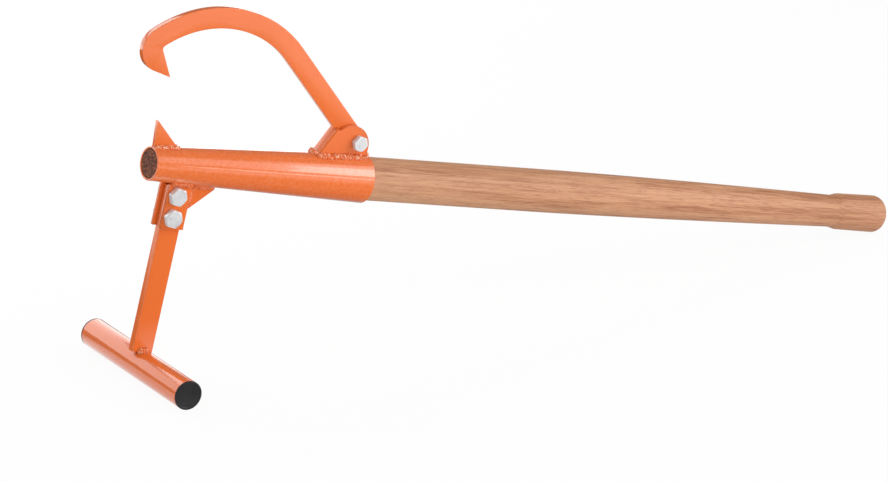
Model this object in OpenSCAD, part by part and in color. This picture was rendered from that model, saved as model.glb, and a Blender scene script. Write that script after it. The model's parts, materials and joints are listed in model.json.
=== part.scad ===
// Log lifter: a wooden lever in a conical steel socket, with a swinging hook
// and a nose spike that grip a log, and a bolted foot that props it off the ground.
// Sizes are in millimetres. The tool is drawn along its own axis, nose face at zero,
// and then laid down so that the foot bar and the grip end both rest on the ground.

/* [Handle] */
// Length of the lever, nose face to grip end
handle_len = 1180; // [1100:5:1260]
// Diameter of the straight stretch behind the socket
handle_d = 57.2; // [54:0.2:60]
// Distance from the nose at which the handle starts to slim down
slim_start = 600; // [520:5:680]
// Diameter of the neck in front of the knob
neck_d = 43.6; // [40:0.2:47]
// Diameter of the knob
knob_d = 50.2; // [48:0.2:54]
// Length of the knob
knob_len = 72; // [60:1:90]
// Length of the swell from the neck up to the knob
swell_len = 18; // [12:1:30]
// Radius of the rounding at the grip end
end_round = 15; // [8:0.5:18]

/* [Socket] */
// Length of the conical socket
socket_len = 327; // [300:1:350]
// Outer diameter of the socket at the nose
nose_d = 44.2; // [42:0.2:47]
// Wall thickness of the rolled socket
socket_wall = 2.5; // [2:0.1:3.2]
// Gap all round between the handle and the socket at the mouth
mouth_gap = 1.35; // [0.8:0.05:2]
// Clearance between the tapered wood and the socket's bore at the nose
wood_fit = 0.15; // [0.1:0.05:0.4]
// Distance behind the socket's mouth at which the wood reaches its full size
full_size_lag = 3; // [1:0.5:10]
// How far the end grain sits back from the nose face
grain_recess = 0.6; // [0.2:0.1:3]

/* [Nose spike] */
// Height of the spike's point above the socket
spike_rise = 35.7; // [25:0.5:45]
// Length of the spike's foot along the socket
spike_foot = 36; // [28:0.5:44]
// How far the point leans out past its foot
spike_lean = 3.5; // [0:0.5:6]
// Thickness of the spike plate
spike_t = 6; // [4:0.5:8]
// Width of the blunted point
spike_blunt = 1.2; // [0.6:0.1:2]

/* [Hook] */
// Thickness of the hook plate
hook_t = 9; // [7:0.5:11]
// Width of the hook's arm and crown
hook_w = 27.6; // [24:0.2:31]
// Length of the straight arm, pivot to the start of the crown
arm_len = 163.6; // [150:0.2:176]
// Lean of the arm towards the nose, from square to the socket
arm_lean = 48.3; // [46:0.1:51]
// Radius of the crown's outer edge
crown_r = 177; // [165:1:190]
// Angle that the crown sweeps through
crown_sweep = 79.8; // [75:0.2:84]
// Radius of the hook's nose
hook_nose_r = 30; // [27:0.5:34]
// Distance of the tip inside the crown's outer edge
tip_depth = 70.4; // [63:0.2:79]
// How far round past the crown's end the tip lies, in degrees
tip_lag = 3.7; // [2:0.1:6]
// Fillet in the throat
throat_fillet = 5; // [3:0.5:8]

/* [Hook bracket] */
// Thickness of both bent brackets and of the gusset
plate_t = 5; // [4:0.25:5.5]
// Outside bend radius of both brackets
bend_r = 6; // [6:0.25:7.5]
// Distance from the socket's mouth back to the ears' rear edge
bracket_setback = 7.5; // [5:0.5:12]
// Radius of the round on the ears
ear_r = 28.6; // [27:0.2:30]
// Pivot's distance behind the middle of the ears' round
pivot_back = 11.9; // [10:0.1:13]
// Pivot's distance above the middle of the ears' round
pivot_up = 6.2; // [5:0.2:8]
// Height of the pivot above the socket's surface
pivot_rise = 18.4; // [17.8:0.2:22]
// Angle of the sloped front wall from the socket's axis
front_wall_angle = 60; // [56:0.5:64]
// Gap between the hook and each ear
hook_side_gap = 1.1; // [0.8:0.1:1.6]
// Gap left between the hook's arm and the top of the front wall
rest_gap = 0.3; // [0.2:0.05:0.6]

/* [Foot leg] */
// Thickness of the leg, a flat bar
leg_t = 11; // [9:0.5:13]
// Width of the leg
leg_w = 30; // [26:0.5:34]
// Distance of the leg's middle from the nose face
leg_s = 49; // [46:0.5:60]
// Gap between the leg's top and the socket
leg_top_gap = 2; // [1:0.5:4]

/* [Foot bracket] */
// How far the channel's near lip stands in front of the leg
near_lip = 2; // [1:0.5:8]
// How far the channel's far lip stands in front of the leg
far_lip = 5; // [1:0.5:8]
// Radius of the lips' upper corners
lip_round = 5.5; // [3:0.5:8]
// Length of the channel below the socket's axis
channel_drop = 82.8; // [80:0.2:92]
// Gap between the leg and each side of the channel
leg_side_gap = 0.2; // [0.1:0.05:0.5]
// Length of the gusset along the socket
gusset_len = 36; // [28:1:46]
// Depth of the gusset down the channel, from the socket's axis
gusset_drop = 58.5; // [48:0.5:70]
// Height of the blunt end of the gusset
gusset_blunt = 3; // [1:0.5:6]

/* [Foot bar] */
// Distance from the socket's axis down to the middle of the foot bar
bar_drop = 268.6; // [230:0.2:300]
// Distance of the foot bar's middle behind the leg's middle
bar_back = 5.4; // [0:0.2:6]
// Diameter of the foot bar
bar_d = 39; // [36:0.5:42]
// Wall thickness of the foot bar
bar_wall = 3; // [2.5:0.5:4]
// Length over the end caps
bar_len = 250; // [220:1:280]
// Depth of the saddle that lets the leg sit on the bar
saddle_depth = 2; // [1:0.5:3]
// Thickness of an end cap's face
cap_t = 2.5; // [2:0.1:4]
// Length of an end cap's plug inside the bar
plug_len = 14; // [10:1:20]
// Wall thickness of the plug
plug_wall = 2; // [1.5:0.1:3]
// Clearance between the plug and the bar's bore
plug_fit = 0.1; // [0.05:0.05:0.3]

/* [Fasteners] */
// Diameter of the pivot bolt
pivot_d = 12; // [11:0.5:13]
// Running clearance between the pivot bolt and the hook
pivot_fit = 0.08; // [0.04:0.01:0.1]
// Diameter of the leg bolts
leg_bolt_d = 14; // [13:0.5:15]
// Clearance between a bolt and a hole in a fixed piece
hole_fit = 0.1; // [0.05:0.05:0.3]
// Distance of the leg bolts in front of the leg's middle
leg_bolt_fwd = 4; // [1:0.5:5]
// Depth of the upper leg bolt below the socket's axis
leg_bolt_drop = 37.8; // [37.4:0.2:39]
// Spacing of the two leg bolts
leg_bolt_pitch = 29.5; // [26:0.5:32]
// Width across flats of a bolt head, as a share of the bolt's diameter
flats_ratio = 1.57; // [1.5:0.01:1.6]
// Height of a bolt head, as a share of the bolt's diameter
head_ratio = 0.63; // [0.55:0.01:0.7]
// Turn of the bolt heads and nuts about their own axis
head_turn = 10; // [0:1:59]
// Height of the thin lock nuts, as a share of the bolt's diameter
nut_ratio = 0.5; // [0.45:0.01:0.6]
// Diameter of a washer, as a share of the bolt's diameter
washer_ratio = 2; // [1.9:0.01:2]
// Thickness of a washer
washer_t = 2.5; // [1.5:0.1:3]
// How far a bolt's end stands out of its nut
thread_end = 1; // [0.5:0.5:3]

/* [Welds] */
// Radius of the weld beads on the brackets
bead_r = 3.2; // [2.6:0.1:3.4]
// Radius of the small weld beads
small_bead_r = 2; // [1.6:0.1:2.2]
// Radius of the weld beads where the leg meets the foot bar
leg_bead_r = 4; // [3.4:0.1:4.4]

/* [Hidden] */
$fn = 96;

paint = [0.91, 0.43, 0.23];
wood = [0.80, 0.60, 0.46];
zinc = [0.84, 0.84, 0.86];
black_plastic = [0.16, 0.16, 0.17];

// A little extra so that cutters pass through what they cut
over = 1;
inner_bend_r = bend_r - plate_t;
// How far a bead's middle stands off the faces it joins, as a share of its radius
bead_proud = 0.2;
// How far up the upright face a bead's middle sits, as a share of its radius
bead_rise = 0.5;
// How far the hook's slot is cleaned into each ear
slot_clean = 0.1;

// Socket cone
mouth_d = handle_d + 2 * (mouth_gap + socket_wall);
cone_slope = (mouth_d - nose_d) / 2 / socket_len;
function cone_r(s) = nose_d / 2 + cone_slope * s;
function cone_h(s, y) = sqrt(pow(cone_r(s), 2) - y * y);
// The wood tapers from its full size, just behind the mouth, to a close fit at the nose
wood_full_s = socket_len + full_size_lag;
wood_nose_r = nose_d / 2 - socket_wall - wood_fit;

// Handle
slim_power = 1.58;
slim_steps = 14;
swell_steps = 6;
knob_s = handle_len - knob_len;
neck_s = knob_s - swell_len;
knob_belly = 0.5;

// Hook, in the plane of the tool's axis: first number along, second above the axis
ear_c = [socket_len - bracket_setback - ear_r,
    cone_r(socket_len - bracket_setback - ear_r + pivot_back) + pivot_rise - pivot_up];
pivot = ear_c + [pivot_back, pivot_up];
arm_dir = [-sin(arm_lean), cos(arm_lean)];
arm_back = [cos(arm_lean), sin(arm_lean)];
crown_in_r = crown_r - hook_w;
crown_c = pivot + arm_dir * arm_len - arm_back * (crown_r - hook_w / 2);
nose_angle = arm_lean + crown_sweep;
hook_nose_c = polar(crown_c, crown_r - hook_nose_r, nose_angle);
tip = polar(crown_c, crown_r - tip_depth, nose_angle + tip_lag);
// The chin is the tangent from the tip to the hook's nose
tip_to_nose = hook_nose_c - tip;
chin_dir = atan2(tip_to_nose[1], tip_to_nose[0]) + asin(hook_nose_r / norm(tip_to_nose));
// The bevel runs from the tip to the crown's inner edge, with a fillet in the corner
bevel = polar(crown_c, crown_in_r, nose_angle) - tip;
bevel_dir = bevel / norm(bevel);
bevel_out = [bevel_dir[1], -bevel_dir[0]];
fillet_start = tip + bevel_out * throat_fillet - crown_c;
fillet_along = -fillet_start * bevel_dir
    + sqrt(pow(fillet_start * bevel_dir, 2) - fillet_start * fillet_start
        + pow(crown_in_r - throat_fillet, 2));
fillet_c = crown_c + fillet_start + bevel_dir * fillet_along;
throat_angle = atan2(fillet_c[1] - crown_c[1], fillet_c[0] - crown_c[0]);
bevel_angle = atan2(-bevel_out[1], -bevel_out[0]);

// Hook bracket
bracket_gap = hook_t + 2 * hook_side_gap;
slot_w = bracket_gap + 2 * slot_clean;
bracket_w = bracket_gap + 2 * plate_t;
front_dir = [cos(front_wall_angle), sin(front_wall_angle)];
front_out = [-front_dir[1], front_dir[0]];
// The ears' round is tangent to the line where the bend begins
wall_c = ear_c + front_out * (ear_r + bend_r);
arm_front = pivot * arm_back - hook_w / 2 - rest_gap;
wall_top = wall_c + front_dir * (arm_front - wall_c * arm_back) / (front_dir * arm_back);
front_axis_s = wall_c[0] - wall_c[1] / tan(front_wall_angle);
front_foot_s = (front_axis_s * tan(front_wall_angle) + nose_d / 2)
    / (tan(front_wall_angle) - cone_slope);
ear_rear_s = ear_c[0] + ear_r;

// Foot
leg_front = leg_s - leg_w / 2;
leg_rear = leg_s + leg_w / 2;
leg_top = -cone_r(leg_rear) - leg_top_gap;
channel_gap = leg_t + 2 * leg_side_gap;
channel_w = channel_gap + 2 * plate_t;
channel_rear = leg_rear + leg_side_gap + plate_t;
// The channel is folded a little too deep, and its lips are then cut back to their shape
fold_front = leg_front - max(near_lip, far_lip) - over;
bar_r = bar_d / 2;
bar_s = leg_s + bar_back;
bar_top = bar_r - bar_drop;
leg_bottom = bar_top - saddle_depth;
bolt_s = leg_s - leg_bolt_fwd;

// Stance: the ground line touches the foot bar and the rounding of the grip end
reach = [handle_len - end_round - bar_s, end_round - knob_d / 2 + bar_drop];
tilt = atan2(reach[1], reach[0]) - asin((end_round - bar_r) / norm(reach));
bar_x = bar_s * cos(tilt) - bar_drop * sin(tilt);
bar_z = -bar_s * sin(tilt) - bar_drop * cos(tilt);
end_x = (handle_len - end_round) * cos(tilt) + (knob_d / 2 - end_round) * sin(tilt) + end_round;
middle_x = (bar_x - bar_r + end_x) / 2;
lift = bar_r - bar_z;

function polar(c, r, a) = [c[0] + r * cos(a), c[1] + r * sin(a)];
function side_of(y) = y < 0 ? -1 : 1;
function lip_front(side) = leg_front - (side < 0 ? near_lip : far_lip);
function arc(c, r, a0, a1, steps) = [for (i = [0 : steps]) polar(c, r, a0 + (a1 - a0) * i / steps)];

// Handle radius where it slims, and where it swells from the neck to the knob
function slim_r(u) = handle_d / 2 - (handle_d - neck_d) / 2 * pow(u, slim_power);
function swell_r(u) = neck_d / 2 + (knob_d - neck_d) / 2 * (1 - cos(180 * u)) / 2;

module on_tool() {
    translate([-middle_x, 0, lift]) rotate([0, tilt, 0]) children();
}

module turned() {
    rotate([0, 90, 0]) children();
}

module side_plate(t) {
    rotate([90, 0, 0]) linear_extrude(height = t, center = true) children();
}

module crosswise(s, h, y) {
    translate([s, y, h]) rotate([-90, 0, 0]) children();
}

module socket_outside() {
    turned() cylinder(h = socket_len, r1 = cone_r(0), r2 = cone_r(socket_len));
}

// A weld bead: a rod with round ends between two points
module bead(p, q, r) {
    v = q - p;
    translate(p) rotate([0, acos(v[2] / norm(v)), atan2(v[1], v[0])]) rotate_extrude($fn = 24)
        polygon(concat([for (a = [-90 : 30 : 0]) [r * cos(a), r * sin(a)]],
            [for (a = [0 : 30 : 90]) [r * cos(a), norm(v) + r * sin(a)]]));
}

// A bead along the corner between the socket and an upright face at y, on the top or the underside
module cone_bead(s0, s1, y, side, r) {
    out = y + side_of(y) * r * bead_proud;
    bead([s0, out, side * (cone_h(s0, y) + r * bead_rise)],
        [s1, out, side * (cone_h(s1, y) + r * bead_rise)], r);
}

// Cross-section of bent plate: closed at the left with rounded corners, open at the right
module folded_section(gap, depth) {
    w = gap + 2 * plate_t;
    difference() {
        rounded_end(w, depth, bend_r);
        translate([plate_t, 0]) rounded_end(gap, depth, inner_bend_r);
    }
}

module rounded_end(w, depth, r) {
    translate([r, -w / 2]) square([depth - r, w]);
    translate([0, r - w / 2]) square([2 * r, w - 2 * r]);
    for (side = [-1, 1]) translate([r, side * (w / 2 - r)]) circle(r = r, $fn = 48);
}

module hex_prism(d, h) {
    flats = d * flats_ratio;
    chamfer = d * 0.06;
    intersection() {
        rotate([0, 0, head_turn]) cylinder(h = h, d = flats / cos(30), $fn = 6);
        union() {
            cylinder(h = h - chamfer, d = flats / cos(30) + over);
            translate([0, 0, h - chamfer]) cylinder(h = chamfer, d1 = flats / cos(30) + 0.2, d2 = flats);
        }
    }
}

// A hex bolt across the tool: head on the near side, nut on the far side
module cross_bolt(d, s, h, grip, washer) {
    crosswise(s, h, -grip / 2) {
        cylinder(h = grip + washer + d * nut_ratio + thread_end, d = d);
        mirror([0, 0, 1]) hex_prism(d, d * head_ratio);
    }
}

module cross_washer(d, s, h, grip) {
    crosswise(s, h, grip / 2) difference() {
        cylinder(h = washer_t, d = d * washer_ratio);
        translate([0, 0, -over]) cylinder(h = washer_t + 2 * over, d = d + 2 * hole_fit);
    }
}

module cross_nut(d, s, h, seat) {
    crosswise(s, h, seat) difference() {
        hex_prism(d, d * nut_ratio);
        translate([0, 0, -over]) cylinder(h = d * nut_ratio + 2 * over, d = d + 2 * hole_fit);
    }
}

module cross_hole(d, s, h, w) {
    crosswise(s, h, -w / 2 - over) cylinder(h = w + 2 * over, d = d);
}

module ear_profile() {
    translate(ear_c) circle(r = ear_r);
    polygon([wall_top, [front_axis_s - over, 0], [ear_rear_s, 0], [ear_rear_s, ear_c[1]], ear_c]);
}

module hook_bracket_fold(solid_inside) {
    translate([front_axis_s, 0, 0]) rotate([0, 90 - front_wall_angle, 0])
        translate([0, 0, -3 * ear_r]) linear_extrude(height = 7 * ear_r)
            if (solid_inside) rounded_end(bracket_w, 4 * ear_r, bend_r);
            else folded_section(bracket_gap, 4 * ear_r);
}

module channel_fold(solid_inside) {
    depth = channel_rear - fold_front;
    translate([channel_rear, 0, -channel_drop]) mirror([1, 0, 0]) linear_extrude(height = channel_drop)
        if (solid_inside) rounded_end(channel_w, depth, bend_r);
        else folded_section(channel_gap, depth);
}

// What is cut off the front of a lip, with a round left at its upper corner
module lip_cut(side) {
    front = lip_front(side);
    round_c = [front + lip_round, -cone_h(front, channel_w / 2) - lip_round];
    translate([0, side * channel_w / 2, 0]) side_plate(channel_w)
        polygon(concat([[fold_front - over, over], [fold_front - over, -channel_drop - over],
            [front, -channel_drop - over]], arc(round_c, lip_round, 180, 90, 8), [[round_c[0], over]]));
}

module foot_bar_outside(l) {
    crosswise(bar_s, -bar_drop, -l / 2) cylinder(h = l, d = bar_d);
}

module gusset_profile() {
    gusset_end = channel_rear + gusset_len;
    polygon([[channel_rear, 0], [gusset_end, 0], [gusset_end, -cone_r(gusset_end) - gusset_blunt],
        [channel_rear, -gusset_drop]]);
}

module spike_profile() {
    top = cone_r(0) + spike_rise;
    polygon([[spike_blunt, 0], [-spike_lean + spike_blunt, top], [-spike_lean + 2 * spike_blunt, top],
        [spike_foot + spike_blunt, cone_r(spike_foot)], [spike_foot + spike_blunt, 0]]);
}

module handle() {
    knob_top = knob_d / 2;
    profile = concat(
        [[0, grain_recess], [wood_nose_r, grain_recess], [handle_d / 2, wood_full_s]],
        [for (i = [0 : slim_steps]) [slim_r(i / slim_steps),
            slim_start + (neck_s - slim_start) * i / slim_steps]],
        [for (i = [1 : swell_steps]) [swell_r(i / swell_steps) - knob_belly,
            neck_s + swell_len * i / swell_steps]],
        [for (a = [0 : 15 : 90]) [knob_top - end_round + end_round * cos(a),
            handle_len - end_round + end_round * sin(a)]],
        [[0, handle_len]]);
    color(wood) on_tool() turned() rotate_extrude() polygon(profile);
}

module socket_tube() {
    color(paint) on_tool() difference() {
        socket_outside();
        turned() translate([0, 0, -over])
            cylinder(h = socket_len + 2 * over, r1 = cone_r(-over) - socket_wall,
                r2 = cone_r(socket_len + over) - socket_wall);
    }
}

module nose_spike() {
    color(paint) on_tool() difference() {
        side_plate(spike_t) spike_profile();
        socket_outside();
    }
}

module hook_outline() {
    polygon(concat(
        arc(pivot, hook_w / 2, arm_lean - 180, arm_lean, 18),
        arc(crown_c, crown_r, arm_lean, nose_angle, 26),
        arc(hook_nose_c, hook_nose_r, nose_angle, chin_dir + 90, 14),
        [tip],
        arc(fillet_c, throat_fillet, bevel_angle + 360, throat_angle, 6),
        arc(crown_c, crown_in_r, throat_angle, arm_lean, 24)));
}

module hook() {
    color(paint) on_tool() difference() {
        side_plate(hook_t) hook_outline();
        cross_hole(pivot_d + 2 * pivot_fit, pivot[0], pivot[1], hook_t);
    }
}

module hook_bracket() {
    color(paint) on_tool() difference() {
        intersection() {
            side_plate(bracket_w + over) ear_profile();
            hook_bracket_fold(false);
        }
        socket_outside();
        translate([pivot[0], 0, pivot[1]]) rotate([0, 90 - arm_lean, 0])
            translate([-3 * ear_r, -slot_w / 2, -hook_w / 2 - rest_gap])
                cube([4 * ear_r, slot_w, 3 * ear_r]);
        cross_hole(pivot_d + 2 * hole_fit, pivot[0], pivot[1], bracket_w);
    }
}

module hook_bolt() {
    color(zinc) on_tool() cross_bolt(pivot_d, pivot[0], pivot[1], bracket_w, washer_t);
}

module hook_washer() {
    color(zinc) on_tool() cross_washer(pivot_d, pivot[0], pivot[1], bracket_w);
}

module hook_nut() {
    color(zinc) on_tool() cross_nut(pivot_d, pivot[0], pivot[1], bracket_w / 2 + washer_t);
}

module leg_bolt_places() {
    for (i = [0, 1]) translate([0, 0, -leg_bolt_drop - i * leg_bolt_pitch]) children();
}

module foot_bracket() {
    color(paint) on_tool() difference() {
        channel_fold(false);
        for (side = [-1, 1]) lip_cut(side);
        socket_outside();
        leg_bolt_places() cross_hole(leg_bolt_d + 2 * hole_fit, bolt_s, 0, channel_w);
    }
}

module bracket_gusset() {
    color(paint) on_tool() difference() {
        side_plate(plate_t) gusset_profile();
        socket_outside();
    }
}

module foot_leg() {
    color(paint) on_tool() difference() {
        translate([leg_front, -leg_t / 2, leg_bottom]) cube([leg_w, leg_t, leg_top - leg_bottom]);
        foot_bar_outside(bar_len);
        leg_bolt_places() cross_hole(leg_bolt_d + 2 * hole_fit, bolt_s, 0, leg_t);
    }
}

module leg_bolts() {
    color(zinc) on_tool() leg_bolt_places() cross_bolt(leg_bolt_d, bolt_s, 0, channel_w, 0);
}

module leg_nuts() {
    color(zinc) on_tool() leg_bolt_places() cross_nut(leg_bolt_d, bolt_s, 0, channel_w / 2);
}

module foot_bar() {
    bored = bar_len - 2 * cap_t;
    color(paint) on_tool() difference() {
        foot_bar_outside(bored);
        cross_hole(bar_d - 2 * bar_wall, bar_s, -bar_drop, bored);
    }
}

// An end cap: a round face as wide as the bar, and a hollow plug pushed into the bore
module end_cap() {
    plug_r = bar_r - bar_wall - plug_fit;
    rotate_extrude() polygon([[0, 0], [plug_r - plug_wall, 0], [plug_r - plug_wall, plug_len],
        [plug_r, plug_len], [plug_r, 0], [bar_r, 0], [bar_r, over - cap_t], [bar_r - over, -cap_t],
        [0, -cap_t]]);
}

module foot_cap_near() {
    color(black_plastic) on_tool() crosswise(bar_s, -bar_drop, cap_t - bar_len / 2) end_cap();
}

module foot_cap_far() {
    color(black_plastic) on_tool() mirror([0, 1, 0])
        crosswise(bar_s, -bar_drop, cap_t - bar_len / 2) end_cap();
}

module spike_weld() {
    color(paint) on_tool() difference() {
        for (side = [-1, 1])
            cone_bead(spike_blunt + small_bead_r, spike_foot, side * spike_t / 2, 1, small_bead_r);
        side_plate(spike_t) spike_profile();
        socket_outside();
    }
}

module hook_bracket_outside() {
    intersection() {
        side_plate(bracket_w + over) ear_profile();
        hook_bracket_fold(true);
    }
}

module hook_bracket_weld() {
    color(paint) on_tool() difference() {
        for (side = [-1, 1]) {
            cone_bead(front_foot_s + bend_r, ear_rear_s - bead_r, side * bracket_w / 2, 1, bead_r);
            rear = [ear_rear_s + bead_r * bead_rise, side * (bracket_w - plate_t) / 2,
                cone_h(ear_rear_s, bracket_w / 2)];
            bead(rear, rear + [0, 0, 2 * bead_r], bead_r * 0.9);
        }
        hook_bracket_outside();
        socket_outside();
    }
}

module hook_bracket_toe_weld() {
    front = [front_foot_s, cone_r(front_foot_s)]
        + (front_out * bead_proud + front_dir * bead_rise) * bead_r;
    color(paint) on_tool() difference() {
        bead([front[0], -bracket_gap / 2, front[1]], [front[0], bracket_gap / 2, front[1]], bead_r);
        hook_bracket_outside();
        socket_outside();
    }
}

module foot_bracket_weld() {
    color(paint) on_tool() difference() {
        for (side = [-1, 1])
            cone_bead(lip_front(side) + lip_round, channel_rear - bend_r, side * channel_w / 2, -1,
                small_bead_r);
        channel_fold(true);
        socket_outside();
    }
}

module gusset_weld() {
    gusset_end = channel_rear + gusset_len - gusset_blunt;
    color(paint) on_tool() difference() {
        for (side = [-1, 1]) {
            y = side * (plate_t / 2 + small_bead_r * bead_proud);
            cone_bead(channel_rear + small_bead_r, gusset_end, side * plate_t / 2, -1, small_bead_r);
            bead([channel_rear + small_bead_r * bead_proud, y, -cone_h(channel_rear, y) - small_bead_r],
                [channel_rear + small_bead_r * bead_proud, y, -gusset_drop + 2 * gusset_blunt], small_bead_r);
        }
        side_plate(plate_t) gusset_profile();
        channel_fold(true);
        socket_outside();
    }
}

module leg_weld() {
    color(paint) on_tool() difference() {
        for (side = [-1, 1]) {
            y = side * (leg_t / 2 + leg_bead_r * bead_proud);
            bead([leg_s - leg_w / 4, y, bar_top], [leg_s + leg_w / 4, y, bar_top], leg_bead_r);
        }
        translate([leg_front, -leg_t / 2, leg_bottom]) cube([leg_w, leg_t, bar_drop]);
        foot_bar_outside(bar_len);
    }
}

handle();
socket_tube();
nose_spike();
hook_bracket();
hook();
hook_bolt();
hook_washer();
hook_nut();
foot_bracket();
bracket_gusset();
foot_leg();
leg_bolts();
leg_nuts();
foot_bar();
foot_cap_near();
foot_cap_far();
spike_weld();
hook_bracket_weld();
hook_bracket_toe_weld();
foot_bracket_weld();
gusset_weld();
leg_weld();
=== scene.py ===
"""Log lifter: a wooden lever in a painted steel socket, with a swinging hook, a nose spike and a foot."""

import json

import bpy
import numpy as np
from mathutils import Matrix


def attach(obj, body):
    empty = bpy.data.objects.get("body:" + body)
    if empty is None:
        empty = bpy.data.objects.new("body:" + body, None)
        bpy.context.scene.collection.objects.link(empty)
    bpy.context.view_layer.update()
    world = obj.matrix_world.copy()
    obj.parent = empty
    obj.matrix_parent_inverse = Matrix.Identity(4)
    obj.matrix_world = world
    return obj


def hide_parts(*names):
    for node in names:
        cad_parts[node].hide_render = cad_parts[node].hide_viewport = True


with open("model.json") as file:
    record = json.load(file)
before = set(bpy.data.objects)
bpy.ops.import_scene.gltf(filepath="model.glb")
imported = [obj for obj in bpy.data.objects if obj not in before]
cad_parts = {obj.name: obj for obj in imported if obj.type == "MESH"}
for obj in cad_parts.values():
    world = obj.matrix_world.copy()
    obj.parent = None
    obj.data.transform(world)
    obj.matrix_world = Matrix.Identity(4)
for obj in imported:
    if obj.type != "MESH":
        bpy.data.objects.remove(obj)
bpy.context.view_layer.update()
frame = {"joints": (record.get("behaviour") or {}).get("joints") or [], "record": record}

# Handle
# A hardwood lever, turned round, straight behind the socket and slimmer towards a knob at the grip.
# Its front end is tapered to fit the socket and shows as dark end grain at the nose.
shaft = frame["record"]["mounts"][0]
SHAFT_MIDDLE = 0.465
along = np.array(shaft["axis"])
across = np.array([0.0, 1.0, 0.0])
upward = np.cross(along, across)
nose = np.array(shaft["pos_m"]) - SHAFT_MIDDLE * along

HANDLE_LENGTH = 1.180
HANDLE_RADIUS = 0.0286
TAPER_START_RADIUS = 0.01945
TAPER_FIRST_LOOP = 0.01
TAPER_END = 0.330
GRAIN_RECESS = 0.0006
EASED_EDGE = 0.0009
EASED_DEPTH = 0.0016
SLIM_START = 0.600
SLIM_END = 1.090
SLIM_POWER = 1.58
NECK_RADIUS = 0.0218
KNOB_START = 1.108
KNOB_RADIUS = 0.0251
KNOB_BELLY = 0.0005
END_ROUND = 0.015
GRAIN_TONES = ((0.0, (0.335, 0.135, 0.064)), (1.0, (0.65, 0.360, 0.212)),
               (0.42, (0.535, 0.264, 0.142)), (0.7, (0.585, 0.308, 0.172)))
PATCH_TONE = (0.43, 0.215, 0.125, 1)
PORE_TONE = (0.24, 0.090, 0.045, 1)
END_GRAIN_TONES = (0.036, 0.006, 0.002, 1), (0.38, 0.098, 0.028, 1)


def on_tool(s, y, h):
    """Points of the tool's own axes in the frame: the nose, plus s along, y across and h upward."""
    s, y, h = np.broadcast_arrays(s, y, h)
    return nose + s[..., None] * along + y[..., None] * across + h[..., None] * upward


def turned(s, radius, centre=nose, axis=along, sides=(across, upward), around=96):
    """Loops of a turned shape: at a distance s along the axis, a circle radius (cos t, sin t) round it."""
    t = np.linspace(0, 2 * np.pi, around, endpoint=False)
    ring = np.cos(t)[:, None] * sides[0] + np.sin(t)[:, None] * sides[1]
    radius = np.broadcast_to(np.reshape(radius, (len(s), -1)), (len(s), around))
    return centre + np.reshape(s, (-1, 1, 1)) * axis + radius[..., None] * ring


def shell(loops, mark=0.0, joined=False):
    """One closed skin: quads between neighbouring loops, and a face on each end loop if they aren't joined.

    Points that coincide are welded, so a loop that shrinks to a point becomes a pole of triangles.
    The sum of corner . (corner x corner) over the faces tells whether they point outwards.
    """
    rows, columns = loops.shape[:2]
    index = np.arange(rows * columns).reshape(rows, columns)
    lower, upper = (index, np.roll(index, -1, 0)) if joined else (index[:-1], index[1:])
    quads = np.stack([lower, np.roll(lower, -1, 1), np.roll(upper, -1, 1), upper], -1).reshape(-1, 4)
    flat = loops.reshape(-1, 3)
    _, first, where = np.unique(np.round(flat, 7), axis=0, return_index=True, return_inverse=True)
    where = where.reshape(-1)
    points = flat[first]
    quads = where[quads]
    kept = quads != np.roll(quads, -1, axis=1)
    three = kept.sum(axis=1) == 3
    four = quads[kept.all(axis=1)]
    triangles = quads[three][kept[three]].reshape(-1, 3)
    caps = [] if joined else [where[index[0]][::-1], where[index[-1]]]
    caps = [cap for cap in caps if len(np.unique(cap)) > 3]
    corners = np.concatenate([four[:, [0, 1, 2]], four[:, [0, 2, 3]], triangles]
                             + [np.stack([np.full(len(c) - 2, c[0]), c[1:-1], c[2:]], 1) for c in caps])
    a, b, c = points[corners].transpose(1, 0, 2)
    faces = four.tolist() + triangles.tolist() + [cap.tolist() for cap in caps]
    if np.einsum("ij,ij->", a - points.mean(0), np.cross(b - a, c - a)) < 0:
        faces = [face[::-1] for face in faces]
    marks = np.broadcast_to(np.reshape(mark, (-1, 1)), (rows, columns)).reshape(-1)[first]
    return points, faces, marks


def piece(name, shells, material, nodes, body="lever", crease=40):
    """A finished object of one or more shells, its edges sharp where faces meet at more than the crease."""
    counts = np.cumsum([0] + [len(points) for points, _, _ in shells])
    faces = [[i + start for i in face] for (_, shape, _), start in zip(shells, counts) for face in shape]
    mesh = bpy.data.meshes.new(name)
    mesh.from_pydata(np.concatenate([points for points, _, _ in shells]).tolist(), [], faces)
    mesh.attributes.new("mark", "FLOAT", "POINT").data.foreach_set(
        "value", np.concatenate([marks for _, _, marks in shells]).astype(np.float32))
    mesh.polygons.foreach_set("use_smooth", np.ones(len(faces), bool))
    mesh.set_sharp_from_angle(angle=np.radians(crease))
    mesh.materials.append(material)
    made = bpy.data.objects.new(name, mesh)
    bpy.context.scene.collection.objects.link(made)
    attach(made, body)
    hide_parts(*nodes)


class Wire:
    """A socket of a finish, on which sums are written as for numbers."""

    def __init__(self, finish, socket):
        self.finish, self.socket = finish, socket

    def maths(self, operation, *values):
        """A Math node's result for those values."""
        return self.finish.node("Math", {"operation": operation}, dict(enumerate(values)))

    def __add__(self, other):
        return self.maths("ADD", self, other)

    def __sub__(self, other):
        return self.maths("SUBTRACT", self, other)

    def __rsub__(self, other):
        return self.maths("SUBTRACT", other, self)

    def __mul__(self, other):
        return self.maths("MULTIPLY", self, other)

    __radd__, __rmul__ = __add__, __mul__


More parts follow.
